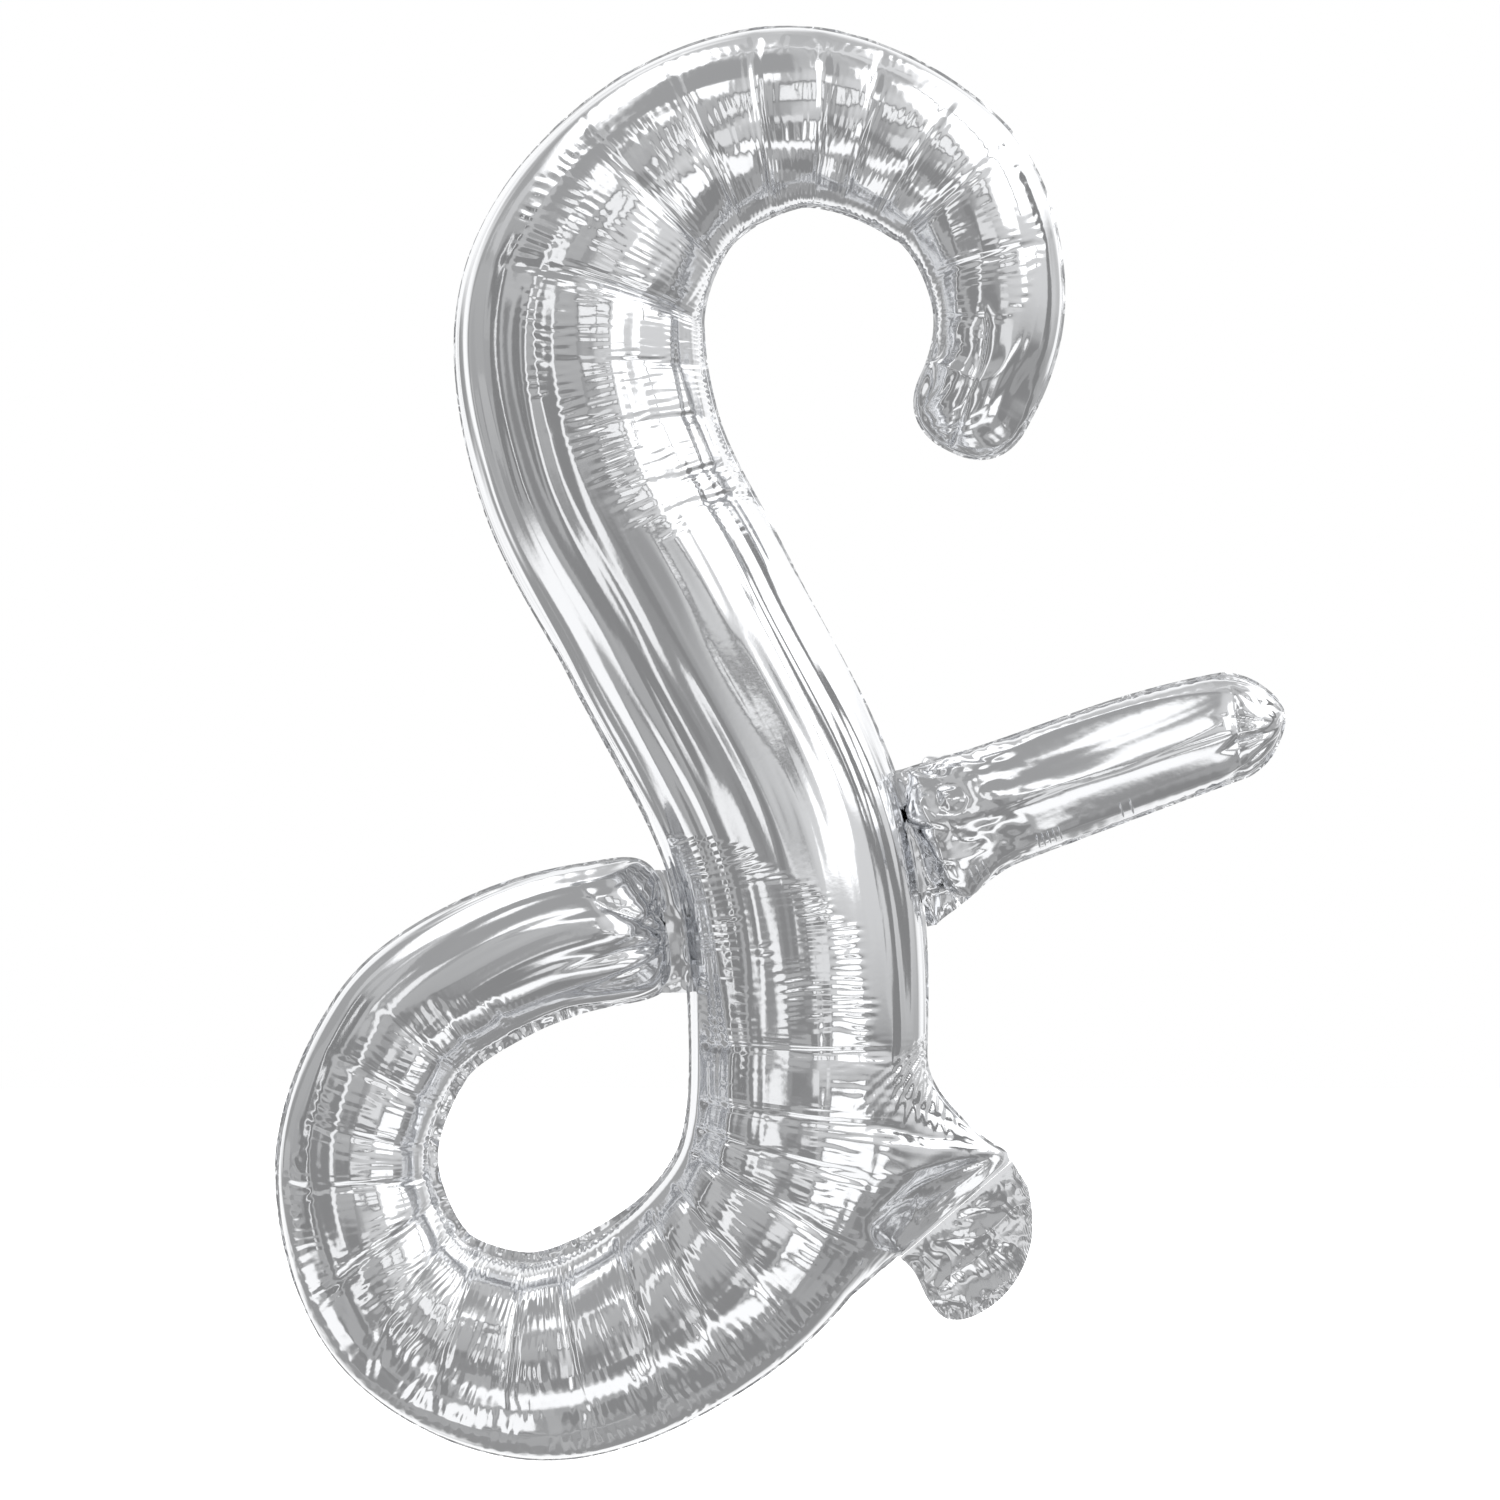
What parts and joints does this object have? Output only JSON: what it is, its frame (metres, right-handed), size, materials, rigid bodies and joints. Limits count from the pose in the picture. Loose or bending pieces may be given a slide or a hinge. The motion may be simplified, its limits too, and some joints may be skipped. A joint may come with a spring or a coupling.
{
  "type": "foil letter balloon",
  "caption": "Script-letter foil balloon: one inflated silver tube that hooks over at the top and loops round at the bottom, with a side arm and a flat filling neck.",
  "frame": {"origin": "The middle of the balloon's box, in the plane of its weld.", "axes": "+Z is the letter's height, +X is to the reader's right, and the letter faces -Y. The weld lies in the plane y = 0."},
  "size_m": [0.9672, 0.2182, 1.3698],
  "materials": {
    "metallised_film": "bright aluminium-coated plastic film, mirror-like, creased",
    "valve_film": "thin clear plastic film"
  },
  "bodies": {
    "balloon": {"front_panel": "metallised_film", "back_panel": "metallised_film"},
    "arm": {"arm_front_panel": "metallised_film", "arm_back_panel": "metallised_film"},
    "neck": {"neck_back_panel": "metallised_film"},
    "neck_lip": {"neck_front_panel": "metallised_film"},
    "valve_back": {"valve_back_film": "valve_film"},
    "valve_front": {"valve_front_film": "valve_film"}
  },
  "joints": [
    {"name": "arm_swing", "type": "hinge", "parent": "balloon", "child": "arm", "pos_m": [0.12727, 0, -0.08494], "axis": [-0.264, 0, 0.9645], "range_deg": [-30, 30], "stiffness_Nm_per_rad": 0.03},
    {"name": "neck_fold", "type": "hinge", "parent": "balloon", "child": "neck", "pos_m": [0.16638, 0, -0.44561], "axis": [0.7583, 0, 0.652], "range_deg": [-110, 110], "stiffness_Nm_per_rad": 0.002},
    {"name": "mouth_open", "type": "hinge", "parent": "neck", "child": "neck_lip", "pos_m": [0.16638, 0, -0.44561], "axis": [-0.7583, 0, -0.652], "range_deg": [0, 15], "stiffness_Nm_per_rad": 0.002},
    {"name": "valve_back_open", "type": "hinge", "parent": "balloon", "child": "valve_back", "pos_m": [0.1568, 0, -0.43446], "axis": [-0.7583, 0, -0.652], "range_deg": [0, 12], "stiffness_Nm_per_rad": 0.001},
    {"name": "valve_front_open", "type": "hinge", "parent": "balloon", "child": "valve_front", "pos_m": [0.1568, 0, -0.43446], "axis": [-0.7583, 0, -0.652], "range_deg": [-12, 0], "stiffness_Nm_per_rad": 0.001}
  ],
  "couplings": [
    {"joint": "valve_front_open", "follows": "valve_back_open", "ratio": -1}
  ]
}
